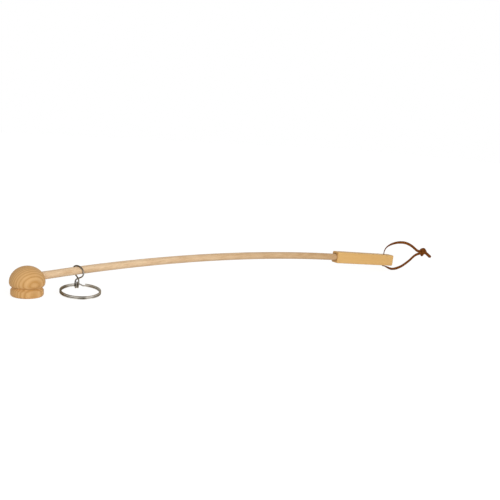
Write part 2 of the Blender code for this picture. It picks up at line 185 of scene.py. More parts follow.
class StickWoodSizes(bpy.types.PropertyGroup):
    """Sizes of the turned head, the rod and the handle."""

    head_diameter: length("Head diameter", "Across the widest part", HEAD_BOX[1].x - HEAD_BOX[0].x)
    head_height: length("Head height", "From the flat base to the top of the dome", HEAD_BOX[1].z)
    widest_height: length("Widest height", "Height of the dome's widest part", 17.0 * MM)
    groove_diameter: length("Groove diameter", "Across the turned groove", 34.8 * MM)
    groove_height: length("Groove height", "Height of the groove's narrowest part", 11.6 * MM)
    base_diameter: length("Base diameter", "Across the base disc", 38.6 * MM)
    base_rim: length("Base rim height", "Height of the base disc's upper rim", 8.0 * MM)
    base_edge: length("Base edge radius", "Rounding of the base disc's lower edge", 3.0 * MM)
    rod_diameter: length("Rod diameter", "Across the round rod", 10.0 * MM)
    rod_length: length("Free rod length", "Along the bend, from the head to the handle", 457.0 * MM)
    rod_height: length("Rod height in head", "Height of the rod's line at the head's axis", 21.7 * MM)
    rod_rise: angle("Rod rise", "Slope of the rod where it leaves the head", 5.6)
    tenon_in_head: length("Tenon in head", "How far the rod goes into the head", 18.0 * MM)
    tenon_in_handle: length("Tenon in handle", "How far the rod goes into the handle", 26.0 * MM)
    handle_length: length("Handle length", "Along the square handle", 119.5 * MM)
    handle_height: length("Handle height", "Height of the handle's section", 17.4 * MM)
    handle_width: length("Handle width", "Width of the handle's section", 15.2 * MM)
    handle_edge: length("Handle edge radius", "Rounding of the handle's edges", 2.2 * MM)
    hole_diameter: length("Lace hole", "Across the hole for the lace", 5.6 * MM)
    hole_to_end: length("Lace hole to end", "From the lace hole to the handle's far end", 16.2 * MM)
    seat_gap: length("Seat gap", "Gap between the rod and its holes", 0.3 * MM)


class StickWireSizes(bpy.types.PropertyGroup):
    """Sizes of the wire link and the split ring."""

    link_wire: length("Link wire", "Diameter of the link's wire", 1.9 * MM)
    link_place: length("Link place", "Along the rod from the head to the link", 42.5 * MM)
    link_lean: angle("Link lean", "How far the link leans away from the upright", 23.0)
    link_turn: angle("Link turn", "How far the link's loop is turned across the rod", 38.0)
    crossing_drop: length("Crossing drop", "From the rod's line to where the strands cross", 12.4 * MM)
    eye_clearance: length("Eye clearance", "Room round the ring's wire in the eye", 0.35 * MM)
    ring_diameter: length("Ring diameter", "Outside the split ring", 50.0 * MM)
    ring_width: length("Ring wire width", "Width of the ring's flat wire", 2.2 * MM)
    ring_thickness: length("Ring wire thickness", "Thickness of the ring's flat wire", 1.6 * MM)
    ring_gap: length("Ring turn gap", "Gap between the ring's two turns", 0.5 * MM)
    ring_step: length("Ring step length", "Length of the step from one turn to the other", 6.0 * MM)
    ring_step_place: angle("Ring step place", "From the link's eye to the step, round the ring", 13.0)


class StickLaceSizes(bpy.types.PropertyGroup):
    """Sizes of the leather lace."""

    lace_width: length("Lace width", "Width of the flat lace", 4.4 * MM)
    lace_thickness: length("Lace thickness", "Thickness of the flat lace", 1.4 * MM)
    knot_length: length("Knot length", "Along the lace", 12.4 * MM)
    knot_height: length("Knot height", "Across the lace, upright", 14.4 * MM)
    tail_length: length("Tail length", "Free end beyond the knot", 13.5 * MM)
    tail_exit: angle("Tail exit", "How far below the level the free end leaves the knot", 11.0)
    tail_fall: angle("Tail fall", "Slope of the free end below the level", 31.0)


class StickColours(bpy.types.PropertyGroup):
    """Colours of the wood, the wire, the lace and the table."""

    head_light: colour("Head early wood", "Pale bands of the head's growth rings", (0.74, 0.445, 0.190))
    head_dark: colour("Head late wood", "Dark bands of the head's growth rings", (0.55, 0.280, 0.085))
    rod_light: colour("Rod wood", "Pale wood of the rod", (0.838, 0.616, 0.393))
    # painted shade: the darker, more brown tone of the rod towards the handle
    rod_painted_shade: colour("Rod handle end", "Browner wood towards the handle", (0.665, 0.436, 0.226))
    rod_streak: colour("Rod streaks", "How far streaks darken the rod's wood", (0.76, 0.66, 0.557))
    rod_dark: colour("Rod flecks", "Short dark flecks in the rod's wood", (0.50, 0.29, 0.145))
    handle_light: colour("Handle wood", "Honey-coloured wood of the handle", (0.80, 0.49, 0.180))
    handle_dark: colour("Handle grain", "Darker grain of the handle", (0.62, 0.335, 0.105))
    handle_end: colour("Handle end grain", "Darker end faces of the handle", (0.60, 0.32, 0.105))
    # painted shade round the rod's hole in the handle's end
    painted_hole_shade: colour("Glue stain", "Stained end grain round the rod", (0.22, 0.11, 0.035))
    steel: colour("Steel", "Plated steel wire", (0.78, 0.74, 0.67))
    # on the ring this colour also paints the dark reflections
    tarnish: colour("Tarnish", "Dulled patches of the plated wire", (0.150, 0.131, 0.098))
    brown_film: colour("Brown film", "Brown film on the tarnished wire", (0.30, 0.21, 0.11))
    lace_dark: colour("Lace", "Brown of the leather lace", (0.165, 0.046, 0.006))
    lace_light: colour("Lace nap", "Paler nap of the leather lace", (0.330, 0.118, 0.026))
    table: colour("Table", "White table", (0.9, 0.9, 0.9))


# Lines that the pieces follow

def heading(slope):
    """The direction at that slope above +X, in the upright plane of the rod."""
    return Vector((math.cos(slope), 0.0, math.sin(slope)))


def rod_exit(wood):
    return Vector((0.0, 0.0, wood.rod_height)) + heading(wood.rod_rise) * wood.head_diameter / 2


def bend_radius(wood):
    return (rod_exit(wood) - BEND_CENTRE).length


def rod_slope(wood, distance):
    return wood.rod_rise - distance / bend_radius(wood)


def rod_point(wood, distance):
    return BEND_CENTRE + heading(rod_slope(wood, distance) + math.pi / 2) * bend_radius(wood)


def handle_slope(wood):
    return rod_slope(wood, wood.rod_length)


def lace_hole(wood):
    along = wood.handle_length - wood.hole_to_end
    return rod_point(wood, wood.rod_length) + heading(handle_slope(wood)) * along


def smooth_route(keys, step):
    """Points about a step apart on a smooth curve through the key points."""
    ends = [2 * keys[0] - keys[1], *keys, 2 * keys[-1] - keys[-2]]
    points = []
    for before, start, stop, after in zip(ends, ends[1:], ends[2:], ends[3:]):
        count = max(1, round((stop - start).length / step))
        for i in range(count):
            t = i / count
            points.append(
                0.5
                * (
                    2 * start
                    + (stop - before) * t
                    + (2 * before - 5 * start + 4 * stop - after) * t**2
                    + (3 * start - before - 3 * stop + after) * t**3
                )
            )
    return [*points, keys[-1].copy()]


# Building blocks

def finish_piece(obj, body, material, replaced=()):
    """Puts a new piece in the scene, with its body, slot and material."""
    bpy.context.scene.collection.objects.link(obj)
    obj.data.materials.clear()
    obj.data.materials.append(material)
    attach(obj, body)
    if replaced:
        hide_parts(*replaced)
    return obj


def mesh_from(bm, name, sharp=SHARP):
    """A smooth-shaded mesh with outward faces from a bmesh, which is freed."""
    bmesh.ops.remove_doubles(bm, verts=bm.verts, dist=MERGE_DISTANCE)
    bmesh.ops.recalc_face_normals(bm, faces=bm.faces)
    mesh = bpy.data.meshes.new(name)
    bm.to_mesh(mesh)
    bm.free()
    mesh.shade_smooth()
    mesh.set_sharp_from_angle(angle=math.radians(sharp))
    return mesh


def bored(mesh, holes):
    """The mesh with round holes cut out. Each hole is (mouth, direction, diameter, depth)."""
    body = bpy.data.objects.new("blank", mesh)
    bpy.context.scene.collection.objects.link(body)
    drills = []
    for mouth, direction, diameter, depth in holes:
        bm = bmesh.new()
        turn = direction.to_track_quat("Z", "Y").to_matrix().to_4x4()
        bmesh.ops.create_cone(
            bm,
            cap_ends=True,
            segments=HOLE_SIDES,
            radius1=diameter / 2,
            radius2=diameter / 2,
            depth=2 * depth,
            matrix=Matrix.Translation(mouth) @ turn,
        )
        drill = bpy.data.objects.new("drill", mesh_from(bm, "drill"))
        bpy.context.scene.collection.objects.link(drill)
        cut = body.modifiers.new("hole", "BOOLEAN")
        cut.operation = "DIFFERENCE"
        cut.object = drill
        drills.append(drill)
    bpy.context.view_layer.update()
    done = bpy.data.meshes.new_from_object(body.evaluated_get(bpy.context.evaluated_depsgraph_get()))
    done.name = mesh.name
    for spare in [body, *drills]:
        bpy.data.objects.remove(spare)
    done.shade_smooth()
    done.set_sharp_from_angle(angle=math.radians(SHARP))
    return done


def arc(bm, vert, centre, turn, steps):
    """Sweeps a vertex round a centre in the XZ plane, and gives the last vertex."""
    swept = bmesh.ops.spin(bm, geom=[vert], cent=centre, axis=(0, 1, 0), angle=turn, steps=steps)
    return next(item for item in swept["geom_last"] if isinstance(item, bmesh.types.BMVert))


def line(bm, vert, place):
    """An edge from a vertex to a place, and the new vertex there."""
    made = bm.verts.new(place)
    bm.edges.new((vert, made))
    return made


def wire_curve(name, points, radius, steps, extrude=0.0, turns=None, closed=False):
    """A wire or strip along the points, with closed ends or joined into a loop."""
    data = bpy.data.curves.new(name, "CURVE")
    data.dimensions = "3D"
    data.twist_mode = "MINIMUM"
    data.use_fill_caps = True
    data.bevel_depth = radius
    data.bevel_resolution = steps
    data.extrude = extrude
    spline = data.splines.new("POLY")
    spline.points.add(len(points) - 1)
    spline.use_smooth = True
    spline.use_cyclic_u = closed
    for i, (spot, point) in enumerate(zip(spline.points, points)):
        spot.co = (*point, 1.0)
        if turns:
            at = i / (len(points) - 1) * (len(turns) - 1)
            low = min(int(at), len(turns) - 2)
            spot.tilt = math.radians(turns[low] + (turns[low + 1] - turns[low]) * (at - low))
    return bpy.data.objects.new(name, data)


# Materials

class Finish:
    """A material whose nodes are added one by one and joined by their socket names."""

    def __init__(self, name, **constants):
        self.material = bpy.data.materials.new(name)
        self.material.use_nodes = True
        self.tree = self.material.node_tree
        self.shader = self.tree.nodes["Principled BSDF"]
        for socket, value in constants.items():
            self.shader.inputs[socket.replace("_", " ")].default_value = value

    @classmethod
    def of_world(cls, world):
        """The same helper for a world's background."""
        made = cls.__new__(cls)
        made.tree = world.node_tree
        made.shader = made.tree.nodes["Background"]
        return made

    def node(self, kind, settings=None, **sockets):
        """A node with its settings, whose sockets get a value or a link from another node's output."""
        made = self.tree.nodes.new("ShaderNode" + kind)
        for key, value in (settings or {}).items():
            setattr(made, key, value)
        for key, value in sockets.items():
            by_number = key[0] == "i" and key[1:].isdigit()
            socket = made.inputs[int(key[1:]) if by_number else key.replace("_", " ")]
            if isinstance(value, bpy.types.NodeSocket):
                self.tree.links.new(value, socket)
            else:
                socket.default_value = value
        return made.outputs

    def maths(self, operation, a, b=0.0, c=0.0):
        return self.node("Math", {"operation": operation}, i0=a, i1=b, i2=c)[0]

    def grey(self, value, *stops):
        """A value remapped through (position, value) stops."""
        out = self.node("ValToRGB", Fac=value)
        elements = out[0].node.color_ramp.elements
        while len(elements) < len(stops):
            elements.new(0.5)
        for element, (position, level) in zip(elements, stops):
            element.position = position
            element.color = (level, level, level, 1.0)
        return out[0]

    def mix(self, share, a, b, blend="MIX"):
        """Two colours mixed. A plain colour may stand for either."""
        settings = {"data_type": "RGBA", "blend_type": blend}
        a = a if isinstance(a, bpy.types.NodeSocket) else (*a, 1.0)
        b = b if isinstance(b, bpy.types.NodeSocket) else (*b, 1.0)
        return self.node("Mix", settings, i0=share, i6=a, i7=b)[2]

    def noise(self, vector, scale, detail=3.0, roughness=0.5, distortion=0.0):
        return self.node(
            "TexNoise",
            Vector=vector,
            Scale=scale,
            Detail=detail,
            Roughness=roughness,
            Distortion=distortion,
        )[0]

    def stretched(self, vector, scale):
        return self.node("Mapping", Vector=vector, Scale=scale)[0]

    def along(self, vector, direction):
        """How far a vector reaches in a direction."""
        settings = {"operation": "DOT_PRODUCT"}
        return self.node("VectorMath", settings, i0=vector, i1=tuple(direction))["Value"]

    def bump(self, height, strength, distance):
        return self.node("Bump", Height=height, Strength=strength, Distance=distance)[0]

    def shade(self, **links):
        for socket, source in links.items():
            self.tree.links.new(source, self.shader.inputs[socket.replace("_", " ")])
        return self.material


def head_finish(colours):
    """Turned wood whose growth rings show as nested arches on the front of the dome."""
    wood = Finish("head_wood", Specular_IOR_Level=0.16)
    place = wood.node("TexCoord")["Object"]
    # the tree's heart stood behind the head, so its layers cut the dome in arches
    pith = wood.node(
        "Mapping",
        {"vector_type": "TEXTURE"},
        Vector=place,
        Location=PITH_PLACE,
        Rotation=PITH_TILT,
    )[0]
    broad = wood.noise(pith, 55.0, 2.0)
    fine = wood.noise(pith, 260.0, 2.0)
    across = wood.node("VectorMath", {"operation": "MULTIPLY"}, i0=pith, i1=(1.0, 1.0, 0.0))[0]
    radius = wood.node("VectorMath", {"operation": "LENGTH"}, i0=across)["Value"]
    ripple = wood.maths("MULTIPLY_ADD", fine, 0.10, YEAR_PHASE)
    waver = wood.maths("MULTIPLY_ADD", broad, 0.22, ripple)
    year = wood.maths("FRACT", wood.maths("MULTIPLY_ADD", radius, YEARS_PER_METRE, waver))
    late = wood.grey(
        year, (0.0, 0.6), (0.14, 0.18), (0.42, 0.04), (0.68, 0.5), (0.90, 1.0), (1.0, 0.6)
    )
    fibre = wood.noise(wood.stretched(pith, (1.0, 1.0, 0.10)), 900.0, 4.0, 0.6)
    patch = wood.noise(pith, 45.0, 2.0)
    share = wood.maths("MULTIPLY_ADD", late, 0.9, wood.maths("MULTIPLY_ADD", fibre, 0.5, -0.25))
    share = wood.maths("ADD", share, wood.maths("MULTIPLY_ADD", patch, 0.5, -0.25))
    # painted shade darkens the groove under the dome, which lies in the lowest 25 mm
    height = wood.maths("MULTIPLY", wood.node("SeparateXYZ", Vector=place)["Z"], 40.0)
    groove = wood.grey(height, (0.33, 0.0), (0.39, 0.34), (0.46, 0.34), (0.54, 0.0))
    share = wood.maths("ADD", share, groove)
    tone = wood.mix(share, tuple(colours.head_light), tuple(colours.head_dark))
    gloss = wood.grey(fibre, (0.3, 0.48), (0.7, 0.62))
    return wood.shade(Base_Color=tone, Roughness=gloss, Normal=wood.bump(fibre, 0.25, 0.0003))


def rod_finish(colours):
    """Pale wood with streaks and short flecks along the rod, with painted shade making it darker and
    more brown towards the handle.
    """
    wood = Finish("rod_wood", Specular_IOR_Level=0.2)
    grain = wood.node("Attribute", {"attribute_name": "grain"})["Vector"]
    # the streaks run a little askew
    askew = wood.node("Mapping", Vector=grain, Rotation=GRAIN_SLANT)[0]
    streak = wood.noise(wood.stretched(askew, (45.0, 420.0, 420.0)), 1.0, 4.0, 0.6)
    fleck = wood.noise(wood.stretched(grain, (260.0, 1500.0, 1500.0)), 1.0, 2.0, 0.5)
    broad = wood.noise(wood.stretched(grain, (6.0, 90.0, 90.0)), 1.0, 2.0)
    specks = wood.grey(fleck, (0.56, 0.0), (0.70, 0.75))
    share = wood.maths("MULTIPLY_ADD", streak, 2.2, -0.75)
    share = wood.maths("ADD", share, wood.maths("MULTIPLY_ADD", broad, 0.6, -0.3))
    # painted shade: the rod turns darker and more brown towards the handle, as if the light fell off
    # there
    along = wood.node("SeparateXYZ", Vector=grain)["X"]
    painted_falloff = wood.node(
        "MapRange", Value=along, From_Min=-0.10, From_Max=0.20, To_Min=0.0, To_Max=0.85
    )[0]
    tone = wood.mix(painted_falloff, tuple(colours.rod_light), tuple(colours.rod_painted_shade))
    tone = wood.mix(share, tone, tuple(colours.rod_streak), "MULTIPLY")
    tone = wood.mix(wood.maths("MULTIPLY", specks, 0.55), tone, tuple(colours.rod_dark))
    gloss = wood.grey(streak, (0.3, 0.45), (0.7, 0.6))
    return wood.shade(Base_Color=tone, Roughness=gloss, Normal=wood.bump(streak, 0.2, 0.0002))


def handle_finish(colours, slope, face, rod_diameter):
    """Honey-coloured wood with fine lengthwise grain, darker at its end faces."""
    wood = Finish("handle_wood", Specular_IOR_Level=0.2)
    place = wood.node("TexCoord")["Object"]
    along = wood.node("Mapping", Vector=place, Rotation=(0.0, slope, 0.0))[0]
    figure = wood.noise(wood.stretched(along, (9.0, 160.0, 160.0)), 1.0, 3.0, 0.55, 0.6)
    streak = wood.noise(wood.stretched(along, (30.0, 1100.0, 1100.0)), 1.0, 4.0, 0.65)
    pores = wood.noise(wood.stretched(along, (160.0, 2600.0, 2600.0)), 1.0, 2.0, 0.5)
    share = wood.maths("MULTIPLY_ADD", figure, 0.9, -0.33)
    share = wood.maths("ADD", share, wood.maths("MULTIPLY_ADD", streak, 0.6, -0.25))
    tone = wood.mix(share, tuple(colours.handle_light), tuple(colours.handle_dark))
    dots = wood.grey(pores, (0.60, 0.0), (0.74, 0.5))
    tone = wood.mix(dots, tone, tuple(colours.handle_dark))
    normal = wood.node("NewGeometry")["Normal"]
    facing = wood.along(normal, heading(slope))
    ends = wood.grey(wood.maths("ABSOLUTE", facing), (0.70, 0.0), (0.95, 0.8))
    tone = wood.mix(ends, tone, tuple(colours.handle_end))
    # painted shade: a dark ring on the end grain round the rod deepens the shade of its hole
    socket = wood.node(
        "Mapping",
        {"vector_type": "TEXTURE"},
        Vector=place,
        Location=tuple(face),
        Rotation=(0.0, -slope, 0.0),
    )[0]
    socket = wood.node("VectorMath", {"operation": "MULTIPLY"}, i0=socket, i1=(4.0, 1.0, 1.0))[0]
    reach = wood.node("VectorMath", {"operation": "LENGTH"}, i0=socket)["Value"]
    rim = wood.node(
        "MapRange",
        Value=reach,
        From_Min=0.5 * rod_diameter,
        From_Max=0.66 * rod_diameter,
        To_Min=0.75,
        To_Max=0.0,
    )[0]
    tone = wood.mix(rim, tone, tuple(colours.painted_hole_shade))
    gloss = wood.grey(streak, (0.3, 0.38), (0.7, 0.52))
    return wood.shade(Base_Color=tone, Roughness=gloss, Normal=wood.bump(streak, 0.18, 0.0002))


def steel_finish(name, colours, tarnished=None):
    """Plated wire, bright where it is rubbed and dark with tarnish elsewhere; round the ring, painted
    reflections add bright and dark bands.
    """
    steel = Finish(name, Metallic=1.0, Specular_Tint=(0.5, 0.47, 0.43, 1.0))
    place = steel.node("TexCoord")["Object"]
    cloud = steel.noise(place, 260.0, 3.0, 0.6)
    patch = steel.maths("MULTIPLY_ADD", steel.noise(place, 110.0, 2.0), 0.6, (tarnished or 0.0) - 0.3)
    if tarnished is None:
        # painted reflections: the ring is painted bright in four places and darkest at its two sides,
        # in bands round it
        ring = steel.node(
            "Mapping", {"vector_type": "TEXTURE"}, Vector=place, Location=tuple(RING_MIDDLE)
        )[0]
        turn = steel.maths("ARCTAN2", steel.along(ring, RING_NEAR), steel.along(ring, RING_SIDE))
        turn = steel.maths("MULTIPLY_ADD", turn, 0.5 / math.pi, 0.5)
        patch = steel.maths("ADD", patch, steel.grey(turn, *RING_PAINTED_REFLECTIONS))
    tarnish_and_painted_reflection = steel.node("Clamp", Value=patch)[0]
    # on the ring this mix paints reflections as well as tarnish
    tone = steel.mix(tarnish_and_painted_reflection, tuple(colours.steel), tuple(colours.tarnish))
    warm = steel.grey(steel.noise(place, 150.0, 2.0), (0.44, 0.0), (0.58, 0.7))
    tone = steel.mix(steel.maths("MULTIPLY", warm, tarnish_and_painted_reflection), tone, tuple(colours.brown_film))
    gloss = steel.maths("MULTIPLY_ADD", cloud, 0.16, 0.10)
    return steel.shade(Base_Color=tone, Roughness=gloss)


def lace_finish(colours):
    """Brown suede with a short uneven nap."""
    hide = Finish("lace_leather", Specular_IOR_Level=0.06)
    place = hide.node("TexCoord")["Object"]
    nap = hide.noise(place, 2600.0, 3.0, 0.7)
    rub = hide.noise(place, 260.0, 3.0, 0.6)
    share = hide.maths("MULTIPLY_ADD", nap, 0.9, -0.3)
    share = hide.maths("ADD", share, hide.maths("MULTIPLY_ADD", rub, 1.5, -0.72))
    tone = hide.mix(share, tuple(colours.lace_dark), tuple(colours.lace_light))
    gloss = hide.grey(nap, (0.3, 0.68), (0.7, 0.9))
    return hide.shade(Base_Color=tone, Roughness=gloss, Normal=hide.bump(nap, 0.6, 0.0003))


# Pieces

class STICK_OT_head(bpy.types.Operator):
    """Turn the mushroom-shaped head and bore it for the rod"""

    bl_idname = "stick.head"
    bl_label = "Turned head"

    def execute(self, context):
        wood = context.scene.stick_wood
        widest, base = wood.head_diameter / 2, wood.base_diameter / 2
        groove = wood.groove_diameter / 2
        bm = bmesh.new()
        # the dome is a quarter circle, drawn up to the head's height
        spot = bm.verts.new((widest, 0.0, 0.0))
        arc(bm, spot, (0, 0, 0), -math.pi / 2, DOME_STEPS)
        rise = wood.head_height - wood.widest_height
        bmesh.ops.scale(bm, verts=bm.verts, vec=(1, 1, rise / widest))
        bmesh.ops.translate(bm, verts=bm.verts, vec=(0, 0, wood.widest_height))
        # below it the dome rolls under to the groove
        tuck = wood.widest_height - wood.groove_height
        below = bm.verts.new((widest, 0.0, wood.widest_height))
        before = set(bm.verts)
        arc(bm, below, (groove, 0, wood.widest_height), math.pi / 2, ROLL_STEPS)
        rolled = [v for v in bm.verts if v not in before]
        bmesh.ops.scale(
            bm,
            verts=rolled,
            vec=(1, 1, tuck / (widest - groove)),
            space=Matrix.Translation((0, 0, -wood.widest_height)),
        )
        lowest = min(rolled, key=lambda v: v.co.z)
        drop = wood.groove_height - wood.base_rim
        flare = groove + FLARE_WIDTH * (base - groove)
        spot = line(bm, lowest, (flare, 0, wood.groove_height - FLARE_DROP * drop))
        spot = line(bm, spot, (base - RIM_ROUND, 0, wood.base_rim + RIM_DROP))
        spot = line(bm, spot, (base, 0, wood.base_rim - RIM_ROUND))
        spot = line(bm, spot, (base, 0, wood.base_edge))
        spot = arc(bm, spot, (base - wood.base_edge, 0, wood.base_edge), math.pi / 2, EDGE_STEPS)
        line(bm, spot, (0, 0, 0))
        bmesh.ops.remove_doubles(bm, verts=bm.verts, dist=MERGE_DISTANCE)
        outline = [*bm.verts, *bm.edges]
        bmesh.ops.spin(
            bm,
            geom=outline,
            cent=(0, 0, 0),
            axis=(0, 0, 1),
            angle=2 * math.pi,
            steps=HEAD_SIDES,
            use_merge=True,
        )
        mesh = mesh_from(bm, "turned_head")
        bore = wood.rod_diameter + wood.seat_gap
        hole = (rod_exit(wood), heading(wood.rod_rise), bore, wood.tenon_in_head)
        piece = bpy.data.objects.new("turned_head", bored(mesh, [hole]))
        material = head_finish(context.scene.stick_colours)
        finish_piece(piece, STICK, material, ["mushroom_head"])
        return {"FINISHED"}


class STICK_OT_rod(bpy.types.Operator):
    """Bend the round rod from the head to the handle"""

    bl_idname = "stick.rod"
    bl_label = "Bent rod"

    def execute(self, context):
        wood = context.scene.stick_wood
        along = heading(wood.rod_rise)
        tip = rod_exit(wood) - along * (wood.tenon_in_head - wood.seat_gap)
        turn = along.to_track_quat("Z", "Y").to_matrix().to_4x4()
        bm = bmesh.new()
        bmesh.ops.create_circle(
            bm,
            cap_ends=True,
            segments=ROD_SIDES,
            radius=wood.rod_diameter / 2,
            matrix=Matrix.Translation(tip) @ turn,
        )
        edges = list(bm.edges)
        straight = bmesh.ops.extrude_edge_only(bm, edges=edges)["geom"]
        verts = [item for item in straight if isinstance(item, bmesh.types.BMVert)]
        bmesh.ops.translate(bm, verts=verts, vec=rod_exit(wood) - tip)
        ring = [e for e in bm.edges if all(v in verts for v in e.verts)]
        bent = bmesh.ops.spin(
            bm,
            geom=[*ring, *verts],
            cent=BEND_CENTRE,
            axis=(0, 1, 0),
            angle=wood.rod_length / bend_radius(wood),
            steps=ROD_STEPS,
        )["geom_last"]
        ring = [item for item in bent if isinstance(item, bmesh.types.BMEdge)]
        straight = bmesh.ops.extrude_edge_only(bm, edges=ring)["geom"]
        verts = [item for item in straight if isinstance(item, bmesh.types.BMVert)]
        reach = wood.tenon_in_handle - wood.seat_gap
        bmesh.ops.translate(bm, verts=verts, vec=heading(handle_slope(wood)) * reach)
        bmesh.ops.contextual_create(bm, geom=[e for e in bm.edges if all(v in verts for v in e.verts)])
        mesh = mesh_from(bm, "bent_rod")
        # the grain runs along the bend
        grain = mesh.attributes.new("grain", "FLOAT_VECTOR", "POINT")
        for vert, value in zip(mesh.vertices, grain.data):
            spoke = vert.co - BEND_CENTRE
            value.vector = (
                math.atan2(spoke.x, spoke.z) * bend_radius(wood),
                spoke.y,
                math.hypot(spoke.x, spoke.z) - bend_radius(wood),
            )
        piece = bpy.data.objects.new("bent_rod", mesh)
        finish_piece(piece, STICK, rod_finish(context.scene.stick_colours), ["curved_rod"])
        return {"FINISHED"}


class STICK_OT_handle(bpy.types.Operator):
    """Plane the square handle, ease its edges and bore its two holes"""

    bl_idname = "stick.handle"
    bl_label = "Square handle"

    def execute(self, context):
        wood = context.scene.stick_wood
        slope = handle_slope(wood)
        face = rod_point(wood, wood.rod_length)
        middle = face + heading(slope) * wood.handle_length / 2
        bm = bmesh.new()
        bmesh.ops.create_cube(bm, size=1.0)
        size = (wood.handle_length, wood.handle_width, wood.handle_height)
        bmesh.ops.scale(bm, verts=bm.verts, vec=size)
        bmesh.ops.bevel(
            bm,
            geom=list(bm.edges),
            offset=wood.handle_edge,
            affect="EDGES",
            segments=HANDLE_EDGE_STEPS,
            profile=0.5,
            material=-1,
        )
        place = Matrix.Translation(middle) @ Matrix.Rotation(-slope, 4, "Y")
        bmesh.ops.transform(bm, verts=bm.verts, matrix=place)
        mesh = mesh_from(bm, "planed_handle")
        up = heading(slope + math.pi / 2)
        holes = [
            (face, heading(slope), wood.rod_diameter + 2 * wood.seat_gap, wood.tenon_in_handle),
            (lace_hole(wood), up, wood.hole_diameter, wood.handle_height),
        ]
        piece = bpy.data.objects.new("planed_handle", bored(mesh, holes))
        material = handle_finish(context.scene.stick_colours, slope, face, wood.rod_diameter)
        finish_piece(piece, STICK, material, ["square_handle"])
        return {"FINISHED"}


class STICK_OT_link(bpy.types.Operator):
    """Bend the figure-eight wire link over the rod and round the ring"""

    bl_idname = "stick.link"
    bl_label = "Wire link"

    def execute(self, context):
        wood, wire = context.scene.stick_wood, context.scene.stick_wire
        slope = rod_slope(wood, wire.link_place)
        top, along = rod_point(wood, wire.link_place), heading(slope)
        down = Matrix.Rotation(wire.link_lean, 3, along) @ -heading(slope + math.pi / 2)
        through = Matrix.Rotation(-wire.link_turn, 3, down) @ along
        faced = RING_TANGENT - down * RING_TANGENT.dot(down)
        twist = math.atan2(through.cross(faced).dot(down), through.dot(faced))
        eye_drop = (LINK_EYE - top).length
        hang = wood.rod_diameter / 2 + wood.seat_gap + wire.link_wire / 2
        loop = wood.rod_diameter / 2 / math.cos(wire.link_turn) + 2 * wood.seat_gap + wire.link_wire / 2
        stack = 2 * wire.ring_thickness + wire.ring_gap
        eye = math.hypot(wire.ring_width, stack) / 2 + wire.eye_clearance + wire.link_wire / 2
        side_step = wire.link_wire / 2 + wood.seat_gap
        flat = []
        for i in range(EYE_STEPS + 1):
            a = math.radians(EYE_START + EYE_TURN * i / EYE_STEPS)
            flat.append((-eye * math.cos(a), eye_drop + eye * math.sin(a), 1.0))
        flat.append((LINK_NECK * eye, (eye_drop + 2 * wire.crossing_drop) / 3, 1.0))
        flat.append((0.0, wire.crossing_drop, 1.0))
        for i in range(LOOP_STEPS + 1):
            a = math.radians(LOOP_START - LOOP_TURN * i / LOOP_STEPS)
            flat.append((-loop * math.cos(a), loop - hang + loop * math.sin(a), 1.0 - i / LOOP_STEPS))
        flat += [(-across, drop, -forth) for across, drop, forth in reversed(flat[:-1])]
        keys = []
        for across, drop, forth in flat:
            share = (drop - wire.crossing_drop) / (eye_drop - wire.crossing_drop)
            ahead = Matrix.Rotation(twist * min(max(share, 0.0), 1.0), 3, down) @ through
            keys.append(top + down * drop + down.cross(ahead) * across + ahead * forth * side_step)
        route = smooth_route(keys, LINK_POINT_STEP)
        piece = wire_curve("bent_wire_link", route, wire.link_wire / 2, LINK_ROUND_STEPS)
        material = steel_finish("link_steel", context.scene.stick_colours, LINK_TARNISH)
        finish_piece(piece, LINK, material, ["wire_link"])
        return {"FINISHED"}


